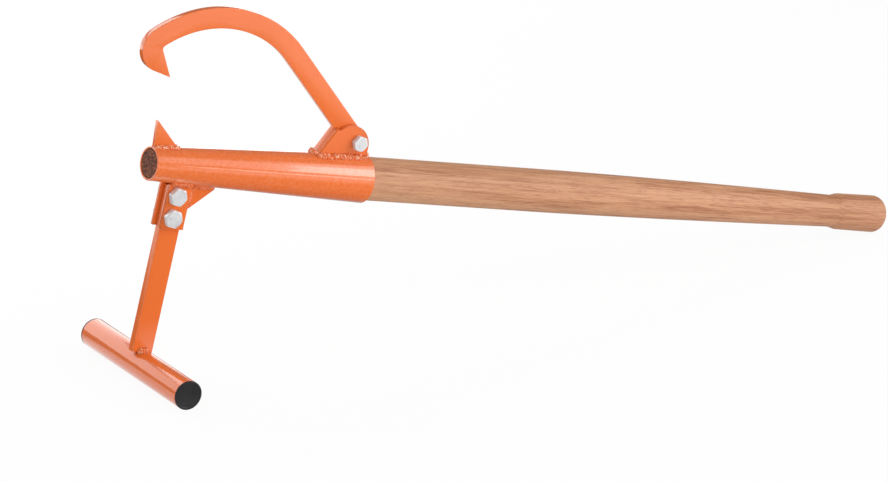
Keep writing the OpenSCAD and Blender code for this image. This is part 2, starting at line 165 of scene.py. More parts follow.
class Finish:
    """A material being made. Its shader is a Principled BSDF with the constants given."""

    def __init__(self, name, constants):
        self.material = bpy.data.materials.new(name)
        self.material.use_nodes = True
        self.tree = self.material.node_tree
        self.shader = self.tree.nodes["Principled BSDF"]
        self.place = self.node("TexCoord", {}, {}, "Object")
        for socket, value in constants.items():
            self.shader.inputs[socket].default_value = value

    def node(self, kind, settings, sockets, output=0):
        """A node of that kind: its settings, then its sockets. A ramp's two end stops come first."""
        made = self.tree.nodes.new("ShaderNode" + kind)
        for setting, value in settings.items():
            if setting == "stops":
                for i, (where, colour) in enumerate(value):
                    stop = made.color_ramp.elements[i] if i < 2 else made.color_ramp.elements.new(where)
                    stop.position, stop.color = where, (*colour, 1)
            else:
                setattr(made, setting, value)
        for socket, value in sockets.items():
            self.put(made, socket, value)
        return Wire(self, made.outputs[output])

    def put(self, made, socket, value):
        """Links a wire to the socket, or sets a plain value on it."""
        if isinstance(value, Wire):
            self.tree.links.new(value.socket, made.inputs[socket])
        else:
            made.inputs[socket].default_value = value

    def noise(self, scale, detail=2.0, stretch=(1, 1, 1), shift=(0, 0, 0)):
        """Noise with a mean of 0.5, on the tool's own axes, drawn out along each by its stretch."""
        turn = (0, np.arctan2(-along[2], along[0]), 0)
        place = self.node("Mapping", {"vector_type": "TEXTURE"},
                          {"Vector": self.place, "Rotation": turn, "Scale": stretch, "Location": shift})
        return self.node("TexNoise", {"noise_dimensions": "3D"},
                         {"Vector": place, "Scale": scale, "Detail": detail, "Roughness": 0.55})

    def between(self, value, low, high, to_low=0.0, to_high=1.0):
        """The value, taken from one range to another and kept inside it."""
        return self.node("MapRange", {"clamp": True}, {"Value": value, "From Min": low, "From Max": high,
                                                       "To Min": to_low, "To Max": to_high})

    def blend(self, share, first, second):
        """A colour part of the way from the first to the second."""
        return self.node("MixRGB", {"blend_type": "MIX"}, {"Fac": share, "Color1": first, "Color2": second})

    def mark(self):
        """The mark that a piece's points carry: end grain on wood, and on paint the edges and welds that get
        a painted highlight.
        """
        return self.node("Attribute", {"attribute_name": "mark"}, {}, "Fac")

    def finished(self, colour, roughness, height, bump, distance):
        """Wires colour, roughness and a bump of that height to the shader and gives the material."""
        normal = self.node("Bump", {}, {"Height": height, "Strength": bump, "Distance": distance})
        for socket, value in (("Base Color", colour), ("Roughness", roughness), ("Normal", normal)):
            self.put(self.shader, socket, value)
        return self.material


def wood():
    """Long soft streaks of darker grain, darker still towards the grip, short dark pores, and speckled dark
    end grain where marked.
    """
    w = Finish("oiled_hardwood", {"Specular IOR Level": 0.3, "Coat Weight": 0.04, "Coat Roughness": 0.4})
    broad = w.noise(70, 3, (16, 1, 1))
    streaks = w.noise(300, 5, (30, 1, 1), (0.3, 0, 0))
    fibres = w.noise(900, 4, (30, 1, 1), (0.7, 0, 0))
    pores = w.between(w.noise(850, 2, (12, 1, 1), (1.4, 0, 0)), 0.58, 0.66)
    patches = w.between(w.noise(22, 2, (5, 1, 1), (2.1, 0, 0)), 0.3, 0.7)
    from_middle = w.node("VectorMath", {"operation": "DOT_PRODUCT"}, {0: w.place, 1: (1, 0, 0)}, "Value")
    handled = w.between(from_middle, -0.15, 0.55)
    grain = w.between(broad * 0.30 + streaks * 0.36 + fibres * 0.34 - handled * 0.06, 0.37, 0.63)
    colour = w.node("ValToRGB", {"stops": GRAIN_TONES}, {"Fac": grain})
    colour = w.blend(patches * 0.3, colour, PATCH_TONE)
    colour = w.blend(pores * 0.45, colour, PORE_TONE)
    speckle = w.between(w.noise(420, 3), 0.40, 0.68)
    ends = w.mark()
    colour = w.blend(ends, colour, w.blend(speckle, *END_GRAIN_TONES))
    roughness = w.between(streaks, 0.3, 0.7, 0.5, 0.66)
    return w.finished(colour, roughness, fibres * 0.6 - pores * 0.9 + ends * speckle * 3.0, 0.25, 0.0004)


def handle_profile():
    """Places along the axis and radii: taper, straight, power-law slimming, cosine swell and round."""
    slim = np.linspace(0, 1, 40)
    swell = np.linspace(0, 1, 12)[1:]
    turn = np.linspace(0, np.pi / 2, 12)
    s = [[GRAIN_RECESS, GRAIN_RECESS, GRAIN_RECESS + EASED_DEPTH],
         np.linspace(TAPER_FIRST_LOOP, TAPER_END, 6),
         SLIM_START + (SLIM_END - SLIM_START) * slim,
         SLIM_END + (KNOB_START - SLIM_END) * swell,
         HANDLE_LENGTH - END_ROUND + END_ROUND * np.sin(turn), [HANDLE_LENGTH]]
    slimmed = HANDLE_RADIUS - (HANDLE_RADIUS - NECK_RADIUS) * slim ** SLIM_POWER
    swollen = NECK_RADIUS + (KNOB_RADIUS - NECK_RADIUS) * (1 - np.cos(np.pi * swell)) / 2 - KNOB_BELLY * swell
    taper = np.interp(np.concatenate(s[:2])[1:],
                      [GRAIN_RECESS, TAPER_END], [TAPER_START_RADIUS, HANDLE_RADIUS])
    taper[0] -= EASED_EDGE
    r = [[0], taper, slimmed, swollen, KNOB_RADIUS - END_ROUND + END_ROUND * np.cos(turn), [0]]
    return np.concatenate(s), np.concatenate(r)


handle_s, handle_r = handle_profile()
end_grain = (handle_s < TAPER_FIRST_LOOP).astype(float)
piece("handle_wood", [shell(turned(handle_s, handle_r, around=128), end_grain)], wood(), ["handle"])

# Socket tube
# Sheet steel rolled to a long cone that narrows to the nose, welded shut and powder coated orange.
# Its lips are lightly rounded, and a thin gap shows round the wood at the mouth.
SOCKET_LENGTH = 0.327
SOCKET_WALL = 0.0025
NOSE_RADIUS = 0.0221
MOUTH_RADIUS = 0.03245
CONE_SLOPE = (MOUTH_RADIUS - NOSE_RADIUS) / SOCKET_LENGTH
LIP_ROUND = 0.0009
LIP_MARK = 0.001
PAINT_TONES = (0.77, 0.152, 0.025, 1), (0.785, 0.158, 0.027, 1)
# A pale tone for the painted highlight on rounded edges, lips and welds.
EDGE_HIGHLIGHT_TONE = (0.86, 0.27, 0.13, 1)
FLECK_TONE = (0.84, 0.28, 0.12, 1)
# A near-white tone for painted glints on the weld beads.
GLINT_TONE = (0.98, 0.62, 0.45, 1)


def cone_height(s, y):
    """Height of the socket's outer skin above the axis: the root of radius squared less y squared."""
    return np.sqrt((NOSE_RADIUS + CONE_SLOPE * s) ** 2 - y ** 2)


def rounded(corners, radii, steps=5):
    """A closed outline, each corner an arc that touches its sides radius / tan(half angle) away."""
    corners = np.asarray(corners, float)
    radii = np.broadcast_to(radii, len(corners))
    outline = []
    for before, corner, after, radius in zip(np.roll(corners, 1, 0), corners,
                                             np.roll(corners, -1, 0), radii):
        if radius == 0:
            outline.append(corner[None])
            continue
        a = (before - corner) / np.linalg.norm(before - corner)
        b = (after - corner) / np.linalg.norm(after - corner)
        half = np.arccos(np.clip(a @ b, -1, 1)) / 2
        centre = corner + (a + b) / np.linalg.norm(a + b) * radius / np.sin(half)
        start = corner + a * radius / np.tan(half) - centre
        end = corner + b * radius / np.tan(half) - centre
        k, sweep = np.linspace(0, 1, steps + 1)[:, None], np.pi - 2 * half
        outline.append(centre + (np.sin((1 - k) * sweep) * start + np.sin(k * sweep) * end) / np.sin(sweep))
    return np.concatenate(outline)


def paint(name, peel=1.0, gloss=0.9, glint_share=0.0):
    """Orange powder coat: faint peel, a cloudy tone, a pale painted highlight on marked edges and pale
    painted glints.
    """
    p = Finish(name, {"Coat Weight": gloss, "Coat Roughness": 0.08, "Specular IOR Level": 0.5})
    colour = p.blend(p.between(p.noise(9, 3), 0.3, 0.7), *PAINT_TONES)
    # Painted highlight: paler where a piece is marked, broken up by noise.
    edge_highlight = p.mark() * p.between(p.noise(240, 3), 0.35, 0.65)
    colour = p.blend(edge_highlight * 0.35, colour, EDGE_HIGHLIGHT_TONE)
    fleck = p.between(p.noise(1300, 1), 0.68, 0.74)
    colour = p.blend(fleck * 0.15, colour, FLECK_TONE)
    # Pale painted glints at random, as much as the glint share asks.
    colour = p.blend(p.between(p.noise(330, 2), 0.52, 0.62) * glint_share, colour, GLINT_TONE)
    roughness = p.between(p.noise(60, 3), 0.3, 0.7, 0.20, 0.22)
    ripple = p.noise(420, 2) * 0.5 + p.noise(60, 2)
    return p.finished(colour, roughness, ripple, 0.018 * peel, 0.0006)


orange = paint("orange_powder_coat")
socket_s, socket_r = rounded(
    [[0, NOSE_RADIUS], [SOCKET_LENGTH, MOUTH_RADIUS],
     [SOCKET_LENGTH, MOUTH_RADIUS - SOCKET_WALL], [0, NOSE_RADIUS - SOCKET_WALL]], LIP_ROUND).T
# The lips are marked for the painted edge highlight.
socket_lips = ((socket_s < LIP_MARK) | (socket_s > SOCKET_LENGTH - LIP_MARK)).astype(float)
piece("socket_cone", [shell(turned(socket_s, socket_r, around=160), socket_lips, True)],
      orange, ["socket_tube"])

# Nose spike
# A flat triangular tooth cut from plate, welded along the top of the nose, which bites into the log.
# Its point and heel are barely blunted, and its foot is sunk a little into the cone.
SPIKE_THICKNESS = 0.006
SPIKE_FOOT = 0.036
SPIKE_RISE = 0.0357
SPIKE_LEAN = 0.0035
SPIKE_BLUNT = 0.0012
SPIKE_POINT_ROUND = 0.0004
SPIKE_HEEL_ROUND = 0.0003
SPIKE_EDGE = 0.0003
SUNK = 0.0015
EDGE_STEPS = 4


def plate(outline, thickness, edge):
    """Loops of a flat plate, drawn in by edge (1 - sin a) at a depth edge (1 - cos a) under each face."""
    step = np.roll(outline, -1, axis=0) - outline
    turning = np.sign(np.sum(outline[:, 0] * np.roll(outline[:, 1], -1)
                             - outline[:, 1] * np.roll(outline[:, 0], -1)))
    ahead = turning * np.stack([step[:, 1], -step[:, 0]], 1) / np.linalg.norm(step, axis=1)[:, None]
    behind = np.roll(ahead, 1, axis=0)
    mitre = (ahead + behind) / (1 + np.sum(ahead * behind, axis=1))[:, None]
    a = np.linspace(0, np.pi / 2, EDGE_STEPS + 1)
    drawn = edge * (1 - np.sin(a))
    depth = edge * (1 - np.cos(a))
    drawn = np.concatenate([drawn, drawn[::-1]])[:, None, None]
    side = np.concatenate([depth - thickness / 2, (thickness / 2 - depth)[::-1]])[:, None]
    flat = outline - drawn * mitre
    # The marks peak half way round each rounded edge, where the paint gets its painted highlight.
    marks = np.concatenate([np.sin(2 * a), np.sin(2 * a)[::-1]])
    return on_tool(flat[..., 0], side, flat[..., 1]), marks


spike_top = NOSE_RADIUS + SPIKE_RISE
spike_heel = SPIKE_FOOT + SPIKE_BLUNT
spike_outline = rounded(
    [[SPIKE_BLUNT, NOSE_RADIUS - SUNK], [SPIKE_BLUNT - SPIKE_LEAN, spike_top],
     [2 * SPIKE_BLUNT - SPIKE_LEAN, spike_top], [spike_heel, cone_height(SPIKE_FOOT, 0)],
     [spike_heel, cone_height(SPIKE_FOOT, 0) - SUNK]],
    [0, SPIKE_POINT_ROUND, SPIKE_POINT_ROUND, SPIKE_HEEL_ROUND, 0])
piece("spike_tooth", [shell(*plate(spike_outline, SPIKE_THICKNESS, SPIKE_EDGE))],
      orange, ["nose_spike"])

# Hook bracket
# A clevis bent from one plate: two ears round the pivot, joined by a sloped front wall the hook rests on.
# Its lower edge follows the socket's cone, where it is welded on.
hinge = frame["joints"][0]
pivot_place = np.array(hinge["pos_m"]) - nose
pivot = np.array([pivot_place @ along, pivot_place @ upward])
PLATE = 0.005
EDGE = 0.0006
HOOK_THICKNESS = 0.009
HOOK_WIDTH = 0.0276
HOOK_PLAY = 0.0011
BRACKET_GAP = HOOK_THICKNESS + 2 * HOOK_PLAY
BRACKET_WIDTH = BRACKET_GAP + 2 * PLATE
EAR_RADIUS = 0.0286
EAR_OFFSET = (0.0119, 0.0062)
EAR_SETBACK = 0.0075
EAR_REAR = SOCKET_LENGTH - EAR_SETBACK
EAR_END_EDGE = 0.0001
WALL_ANGLE = np.radians(60)
WALL_BEND = 0.0035
WALL_SETBACK = 0.0040
CORNER_RISE = 0.0038
ARM_LEAN = np.radians(48.3)
REST_GAP = 0.0003
SEAT_DEPTH = 0.0003
TOLERANCE = 1e-6
BEND_STEPS, END_STEPS, STRIP_STEPS, NEWTON_STEPS = 8, 3, 55, 4
STRIP_CROWDING = 1.5
ear_middle = pivot - EAR_OFFSET
wall_up = np.array([np.cos(WALL_ANGLE), np.sin(WALL_ANGLE)])
wall_in = np.array([np.sin(WALL_ANGLE), -np.cos(WALL_ANGLE)])
arm_back = np.array([np.cos(ARM_LEAN), np.sin(ARM_LEAN)])
wall_foot = ear_middle - wall_in * (EAR_RADIUS + WALL_SETBACK)
arm_front = pivot @ arm_back - HOOK_WIDTH / 2 - REST_GAP


def bent_strip(width, depths, bend, end_edge):
    """The two skins of a bent strip, seen along its bends: down one side, round, across, round, and back.

    Gives the distance from the closed side and the sideways place of each outer point and of the inner point
    that lies a plate's thickness under it, and how far the section is drawn in at its ends, edge (1 - cos a).
    Along each side the points stand depth (steps / all steps)^crowding from the open end.
    """
    a = np.linspace(0, np.pi / 2, BEND_STEPS + 1)[1:]
    ends = np.linspace(0, np.pi / 2, END_STEPS + 1)[::-1]
    steps = np.linspace(0, 1, STRIP_STEPS + 1) ** STRIP_CROWDING
    inner_bend = max(bend - PLATE, 0)
    halves = []
    for depth in depths:
        straight = depth - 2 * end_edge - (depth - 2 * end_edge - bend) * steps
        flat = np.concatenate([depth - end_edge * (1 - np.sin(ends)), straight])
        flat_side = np.full(len(flat), width / 2)
        halves.append([
            np.concatenate([flat, bend - bend * np.sin(a)]),
            np.concatenate([flat_side, width / 2 - bend + bend * np.cos(a)]),
            np.concatenate([np.maximum(flat, PLATE + inner_bend), PLATE + inner_bend * (1 - np.sin(a))]),
            np.concatenate([flat_side - PLATE, width / 2 - PLATE - inner_bend * (1 - np.cos(a))]),
            np.concatenate([end_edge * (1 - np.cos(ends)), np.zeros(len(straight) + len(a))])])
    near, far = halves
    signs = (1, -1, 1, -1, 1)
    return [np.concatenate([sign * first, second[::-1]]) for sign, first, second in zip(signs, near, far)]


def folded(width, depths, bend, bottom, top, place, end_edge=EDGE):
    """Loops of a bent plate: a rounded rectangle, plate thick and from bottom to top, carried along a strip.

    Bottom and top are functions of the distance from the closed side and the sideways place.
    """
    outer_away, outer_side, inner_away, inner_side, drawn = (
        v[:, None] for v in bent_strip(width, depths, bend, end_edge))
    a = np.linspace(0, np.pi / 2, EDGE_STEPS + 1)
    soft, deep = EDGE * (1 - np.sin(a)), EDGE * (1 - np.cos(a))
    share = np.concatenate([soft, PLATE - soft[::-1], PLATE - soft, soft[::-1]]) / PLATE
    insets = np.concatenate([deep, deep[::-1], deep, deep[::-1]])
    upper = np.arange(len(share)) < 2 * len(a)
    share = 0.5 + (share - 0.5) * (1 - 2 * drawn / PLATE)
    x = outer_away + share * (inner_away - outer_away)
    y = outer_side + share * (inner_side - outer_side)
    low, high = bottom(x, y), top(x, y)
    high = np.maximum(high, low)
    inset = np.minimum(insets + drawn, (high - low) / 2)
    return place(x, y, np.where(upper, high - inset, low + inset))


def up_wall(x, q):
    """Places along the tool and above its axis, of points x behind the wall's face and q up its slope."""
    return (wall_foot[i] + x * wall_in[i] + q * wall_up[i] for i in (0, 1))


def place_on_wall(x, y, q):
    """Those points in the frame, y to the side."""
    s, h = up_wall(x, q)
    return on_tool(s, y, h)


def ear_top(x, y):
    """The ears' round with straight edges beside it, and the wall's raised corners. Between them the wall's
    edge follows the arm's front.
    """
    over = x - EAR_RADIUS - WALL_SETBACK
    crown = np.sqrt(np.maximum(EAR_RADIUS ** 2 - over ** 2, 0))
    rear = (EAR_REAR - wall_foot[0] - x * wall_in[0]) / wall_up[0]
    front_top = (arm_front - wall_foot @ arm_back) / (wall_up @ arm_back)
    corner = front_top + CORNER_RISE
    ear = np.where(over < 0, np.maximum(crown, -corner * over / (EAR_RADIUS + WALL_SETBACK)), crown)
    ear = np.where(over > EAR_RADIUS * np.sin(WALL_ANGLE), rear, ear)
    slot = front_top - x * (wall_in @ arm_back) / (wall_up @ arm_back)
    ear = np.where(x < WALL_BEND, np.minimum(ear, corner), ear)
    return np.where(np.abs(y) > BRACKET_GAP / 2 - TOLERANCE, ear, slot)


def cone_below(x, y):
    """Where a line up the wall's slope leaves the cone: Newton's method, from the cone's top line."""
    slope = wall_up[1] - CONE_SLOPE * wall_up[0]
    s, h = up_wall(x, 0)
    q = (NOSE_RADIUS + CONE_SLOPE * s - h) / slope
    for _ in range(NEWTON_STEPS):
        s, h = up_wall(x, q)
        q = q - (h - cone_height(s, y)) / slope
    return q - SEAT_DEPTH


ear_depth = (EAR_REAR - wall_foot[0]) * wall_in[0] + (cone_height(EAR_REAR, 0) - wall_foot[1]) * wall_in[1]
bracket_plate = folded(BRACKET_WIDTH, (ear_depth, ear_depth), WALL_BEND, cone_below, ear_top, place_on_wall,
                       EAR_END_EDGE)
piece("hook_bracket_plate", [shell(bracket_plate)], orange, ["hook_bracket"])

# Hook
# A crescent cut from thick plate that swings on the pivot bolt, with a bevelled point that grips the log.
# The arm is straight, and its round end turns between the bracket's ears.
ARM_LENGTH = 0.1636
CROWN_RADIUS = 0.177
CROWN_SWEEP = np.radians(79.8)
HOOK_NOSE_RADIUS = 0.030
TIP_RADIUS = 0.1066
TIP_LAG = np.radians(3.7)
THROAT_FILLET = 0.005
HOOK_EDGE = 0.0007
ROUND_STEPS, CROWN_STEPS, FILLET_STEPS = 28, 72, 8


def arc(centre, radius, start, end, steps):
    """Points centre + radius (cos a, sin a), for angles a from start to end."""
    a = np.linspace(start, end, steps + 1)[:, None]
    return centre + radius * np.concatenate([np.cos(a), np.sin(a)], 1)


def direction(v):
    """The angle of a vector."""
    return np.arctan2(v[1], v[0])


def hook_outline():
    """The arm's round, the crown's outer arc, the nose, a tangent to the tip, the fillet, the inner arc."""
    arm_along = np.array([-np.sin(ARM_LEAN), np.cos(ARM_LEAN)])
    crown = pivot + arm_along * ARM_LENGTH - arm_back * (CROWN_RADIUS - HOOK_WIDTH / 2)
    inner = CROWN_RADIUS - HOOK_WIDTH
    end = ARM_LEAN + CROWN_SWEEP
    nose_middle = arc(crown, CROWN_RADIUS - HOOK_NOSE_RADIUS, end, end, 0)[0]
    tip = arc(crown, TIP_RADIUS, end + TIP_LAG, end + TIP_LAG, 0)[0]
    chin = direction(nose_middle - tip) + np.arcsin(HOOK_NOSE_RADIUS / np.linalg.norm(nose_middle - tip))
    bevel = arc(crown, inner, end, end, 0)[0] - tip
    bevel = bevel / np.linalg.norm(bevel)
    bevel_out = np.array([bevel[1], -bevel[0]])
    start = tip + bevel_out * THROAT_FILLET - crown
    reach = np.sqrt((start @ bevel) ** 2 - start @ start + (inner - THROAT_FILLET) ** 2) - start @ bevel
    fillet = crown + start + bevel * reach
    throat = direction(fillet - crown)
    return np.concatenate([
        arc(pivot, HOOK_WIDTH / 2, ARM_LEAN - np.pi, ARM_LEAN, ROUND_STEPS)[:-1],
        arc(crown, CROWN_RADIUS, ARM_LEAN, end, CROWN_STEPS)[:-1],
        arc(nose_middle, HOOK_NOSE_RADIUS, end, chin + np.pi / 2, ROUND_STEPS),
        tip[None],
        arc(fillet, THROAT_FILLET, direction(-bevel_out) + 2 * np.pi, throat, FILLET_STEPS)[:-1],
        arc(crown, inner, throat, ARM_LEAN, CROWN_STEPS)[:-1]])


piece("hook_plate", [shell(*plate(hook_outline(), HOOK_THICKNESS, HOOK_EDGE))],
      orange, ["hook"], "hook")

# Bolts, nuts and washer
# Zinc plated hex bolts: one is the hook's pivot, two hold the leg in its bracket.
# The heads show on the near side, with thin lock nuts on the far side and a washer under the pivot's.
PIVOT_BOLT = 0.012
LEG_BOLT = 0.014
HEX_FLATS, HEAD_HEIGHT, NUT_HEIGHT = 1.57, 0.63, 0.5
HEX_SOFT, HEX_CREST, HEX_CIRCLE, HEX_TOP, HEX_POINTS = 0.02, 0.7, 0.98, 0.97, 72
HEAD_TURN = np.radians(-10)
BORE_PLAY = 0.0001
THREAD_PITCH, THREAD_DEPTH = 1 / 8, 0.3
SHANK_OUT = 0.001
SHANK_CHAMFER, SHANK_CHAMFER_DEPTH = 0.0008, 0.0012
SHANK_STEPS = 40
BORE_CHAMFER = 0.0008
WASHER = 0.0025
WASHER_ROUND = 0.0003
LEG_THICKNESS = 0.011
LEG_PLAY = 0.0002
LEG_MIDDLE = 0.049
CHANNEL_WIDTH = LEG_THICKNESS + 2 * LEG_PLAY + 2 * PLATE
BOLT_SHIFT = 0.004
BOLT_DROPS = (0.0378, 0.0673)
ZINC_TONES = (0.76, 0.77, 0.79, 1), (0.88, 0.88, 0.89, 1)
crosswise = {"axis": across, "sides": (along, upward)}


def zinc():
    """Bright zinc plate: pale metal with a cloudy sheen and fine tumbled scratches."""
    z = Finish("bright_zinc", {"Metallic": 0.4, "Specular IOR Level": 0.5})
    cloud = z.noise(120, 3)
    colour = z.blend(z.between(cloud, 0.35, 0.65), *ZINC_TONES)
    scratch = z.noise(1500, 3, (1, 1, 0.2))
    return z.finished(colour, z.between(cloud, 0.3, 0.7, 0.26, 0.42), scratch + cloud * 2, 0.12, 0.0002)


def hexagon(diameter):
    """Distances from the axis to a hexagon's sides and to the circle on its top, and its chamfer's drop.

    The side lies half the flats / cos(angle from a side's middle) away. The chamfer drops by tan 30 degrees
    for each step out past the circle.
    """
    flats = diameter * HEX_FLATS
    t = np.linspace(0, 2 * np.pi, HEX_POINTS, endpoint=False)
    side = flats / 2 / np.cos((t - HEAD_TURN) % (np.pi / 3) - np.pi / 6)
    circle = np.full(HEX_POINTS, flats / 2 * HEX_CIRCLE)
    return side, circle, np.maximum(side - circle, 0) * np.tan(np.pi / 6)


def hex_loops(centre, outwards, level, radius):
    """Loops round a bolt's axis: that level out from the centre, then radius (cos t, sin t)."""
    t = np.linspace(0, 2 * np.pi, HEX_POINTS, endpoint=False)
    ring = np.cos(t)[:, None] * along + np.sin(t)[:, None] * upward
    axial = outwards * np.stack(level)[..., None] * across
    return centre + axial + np.stack(radius)[..., None] * ring


def hex_bolt(diameter, s, h, seat, far_seat):
    """A chamfered head on the near side, and a shank that stands out of the nut on the far side.

    The thread cuts depth pitch (1 + cos(2 pi y / pitch)) / 2 into the shank behind the far seat.
    """
    centre = on_tool(s, 0.0, h)
    height, soft = diameter * HEAD_HEIGHT, diameter * HEX_SOFT
    side, circle, drop = hexagon(diameter)
    none = side * 0
    top_level = seat + height + none
    head = hex_loops(centre, -1,
                     [seat + none, seat + none, seat + soft + none, seat + (height - drop - soft),
                      seat + (height - drop), top_level, top_level, top_level],
                     [none, side - soft, side, side,
                      side - soft * HEX_CREST, circle, circle * HEX_TOP, none])
    pitch = diameter * THREAD_PITCH
    end = far_seat + diameter * NUT_HEIGHT + SHANK_OUT
    y = np.concatenate([[-seat], -seat + (end + seat) * np.linspace(0, 1, SHANK_STEPS)[1:-1],
                        [end - SHANK_CHAMFER, end, end]])
    thread = np.where(y > far_seat, pitch * THREAD_DEPTH * (1 + np.cos(2 * np.pi * y / pitch)) / 2, 0)
    shank = np.concatenate([[0], (diameter / 2 - thread)[1:-2], [diameter / 2 - SHANK_CHAMFER_DEPTH, 0]])
    return [shell(head), shell(turned(y, shank, centre, around=48, **crosswise))]


def hex_nut(diameter, s, h, seat):
    """A thin lock nut: a hexagon with a chamfered outer face and a round bore."""
    height = diameter * NUT_HEIGHT
    side, circle, drop = hexagon(diameter)
    none = side * 0
    bore = diameter / 2 + BORE_PLAY + none
    top_level = seat + height + none
    loops = hex_loops(on_tool(s, 0.0, h), 1,
                      [seat + none, seat + none, seat + (height - drop),
                       top_level, top_level, seat + (height - BORE_CHAMFER) + none],
                      [bore, side, side, circle, bore + BORE_CHAMFER, bore])
    return shell(loops, joined=True)


bright_zinc = zinc()
bracket_side, channel_side = BRACKET_WIDTH / 2, CHANNEL_WIDTH / 2
nut_seat = bracket_side + WASHER
piece("pivot_bolt", hex_bolt(PIVOT_BOLT, *pivot, bracket_side, nut_seat), bright_zinc, ["hook_bolt"])
washer_y, washer_r = rounded([[0, PIVOT_BOLT / 2 + BORE_PLAY], [WASHER, PIVOT_BOLT / 2 + BORE_PLAY],
                              [WASHER, PIVOT_BOLT], [0, PIVOT_BOLT]], WASHER_ROUND, 3).T
washer_loops = turned(washer_y + bracket_side, washer_r, on_tool(pivot[0], 0.0, pivot[1]),
                      around=72, **crosswise)
piece("pivot_washer", [shell(washer_loops, joined=True)], bright_zinc, ["hook_washer"])
piece("pivot_nut", [hex_nut(PIVOT_BOLT, *pivot, nut_seat)], bright_zinc, ["hook_nut"])
leg_bolts, leg_nuts = [], []
for drop in BOLT_DROPS:
    leg_bolts += hex_bolt(LEG_BOLT, LEG_MIDDLE - BOLT_SHIFT, -drop, channel_side, channel_side)
    leg_nuts.append(hex_nut(LEG_BOLT, LEG_MIDDLE - BOLT_SHIFT, -drop, channel_side))
piece("leg_bolt_pair", leg_bolts, bright_zinc, ["leg_bolts"])
piece("leg_nut_pair", leg_nuts, bright_zinc, ["leg_nuts"])

# Foot bracket and gusset
# A channel bent from plate and welded under the nose, open to the front, which the leg is bolted into.
# A triangular web behind it stiffens the joint.
LEG_WIDTH = 0.030
CHANNEL_REAR = LEG_MIDDLE + LEG_WIDTH / 2 + LEG_PLAY + PLATE
CHANNEL_BEND = 0.006
CHANNEL_DROP = 0.0828
NEAR_LIP, FAR_LIP = 0.002, 0.005
LIP_CORNER = 0.0055
GUSSET_LENGTH = 0.036
GUSSET_DROP = 0.0585
GUSSET_BLUNT = 0.003
GUSSET_ROUND = 0.0012
GUSSET_EDGE = 0.0005
lip_depths = [CHANNEL_REAR - LEG_MIDDLE + LEG_WIDTH / 2 + lip for lip in (NEAR_LIP, FAR_LIP)]


def channel_bottom(x, y):
    """A level edge, the channel's drop under the tool's axis."""
    return np.full(x.shape, -CHANNEL_DROP)


def channel_top(x, y):
    """The socket's underside, but for a round at each lip's upper corner: root of R^2 - (R - distance)^2."""
    depth = np.where(y < 0, *lip_depths)
    short = LIP_CORNER - np.clip(depth - x, 0, LIP_CORNER)
    corner = cone_height(CHANNEL_REAR - depth, channel_side) + LIP_CORNER
    return np.minimum(SEAT_DEPTH - cone_height(CHANNEL_REAR - x, y),
                      np.where(short > 0, np.sqrt(LIP_CORNER ** 2 - short ** 2) - corner, 0))


def place_in_channel(x, y, q):
    """Points x before the channel's rear face, y to the side and q above the tool's axis."""
    return on_tool(CHANNEL_REAR - x, y, q)


channel_plate = folded(CHANNEL_WIDTH, lip_depths, CHANNEL_BEND, channel_bottom, channel_top, place_in_channel)
piece("foot_channel", [shell(channel_plate)], orange, ["foot_bracket"])
gusset_end = CHANNEL_REAR + GUSSET_LENGTH
gusset_outline = rounded(
    [[CHANNEL_REAR, SUNK - cone_height(CHANNEL_REAR, 0)], [gusset_end, SUNK - cone_height(gusset_end, 0)],
     [gusset_end, -cone_height(gusset_end, 0) - GUSSET_BLUNT], [CHANNEL_REAR, -GUSSET_DROP]],
    [0, 0, GUSSET_ROUND, 0])
piece("gusset_web", [shell(*plate(gusset_outline, PLATE, GUSSET_EDGE))],
      orange, ["bracket_gusset"])

# Foot leg
# A length of flat bar, bolted in the channel at the top and welded to the foot bar at the bottom.
# Its top stops just under the socket, and its lower end is set a little into the bar.
BAR_DROP = 0.2686
BAR_RADIUS = 0.0195
SADDLE = 0.002
LEG_TOP_GAP = 0.002
LEG_CORNER = 0.001
LEG_EDGE = 0.0009
leg_front, leg_rear = LEG_MIDDLE - LEG_WIDTH / 2, LEG_MIDDLE + LEG_WIDTH / 2
leg_top = -(NOSE_RADIUS + CONE_SLOPE * leg_rear) - LEG_TOP_GAP
leg_outline = rounded([[leg_front, leg_top], [leg_rear, leg_top], [leg_rear, BAR_RADIUS - BAR_DROP - SADDLE],
                       [leg_front, BAR_RADIUS - BAR_DROP - SADDLE]], [LEG_CORNER, LEG_CORNER, 0, 0])
piece("leg_bar", [shell(*plate(leg_outline, LEG_THICKNESS, LEG_EDGE))], orange, ["foot_leg"])

# Foot bar and end caps
# A round tube that stands on the ground, closed at each end by a black moulded cap.
# A cap has a shallow dished face with a rounded rim, and a hollow plug that grips inside the tube.
BAR_LENGTH = 0.250
BAR_WALL = 0.003
BAR_LIP = 0.0006
BAR_SHIFT = 0.0054
CAP_FACE = 0.0025
CAP_RIM, CAP_RIM_FOOT = 0.003, 0.0036
CAP_DISH = 0.0004
CAP_DISH_MIDDLE = 0.004
CAP_ROUND, CAP_SEAT_ROUND, CAP_RIM_ROUND = 0.0013, 0.0003, 0.0004
PLUG_LENGTH = 0.014
PLUG_WALL = 0.002
PLUG_PLAY = 0.0001
PLASTIC_TONES = (0.013, 0.013, 0.014, 1), (0.021, 0.021, 0.023, 1)
bar_middle = on_tool(LEG_MIDDLE + BAR_SHIFT, 0.0, -BAR_DROP)
bar_half = BAR_LENGTH / 2 - CAP_FACE
bar_y, bar_r = rounded([[-bar_half, BAR_RADIUS], [bar_half, BAR_RADIUS], [bar_half, BAR_RADIUS - BAR_WALL],
                        [-bar_half, BAR_RADIUS - BAR_WALL]], BAR_LIP).T
piece("foot_tube", [shell(turned(bar_y, bar_r, bar_middle, around=128, **crosswise), joined=True)],
      orange, ["foot_bar"])


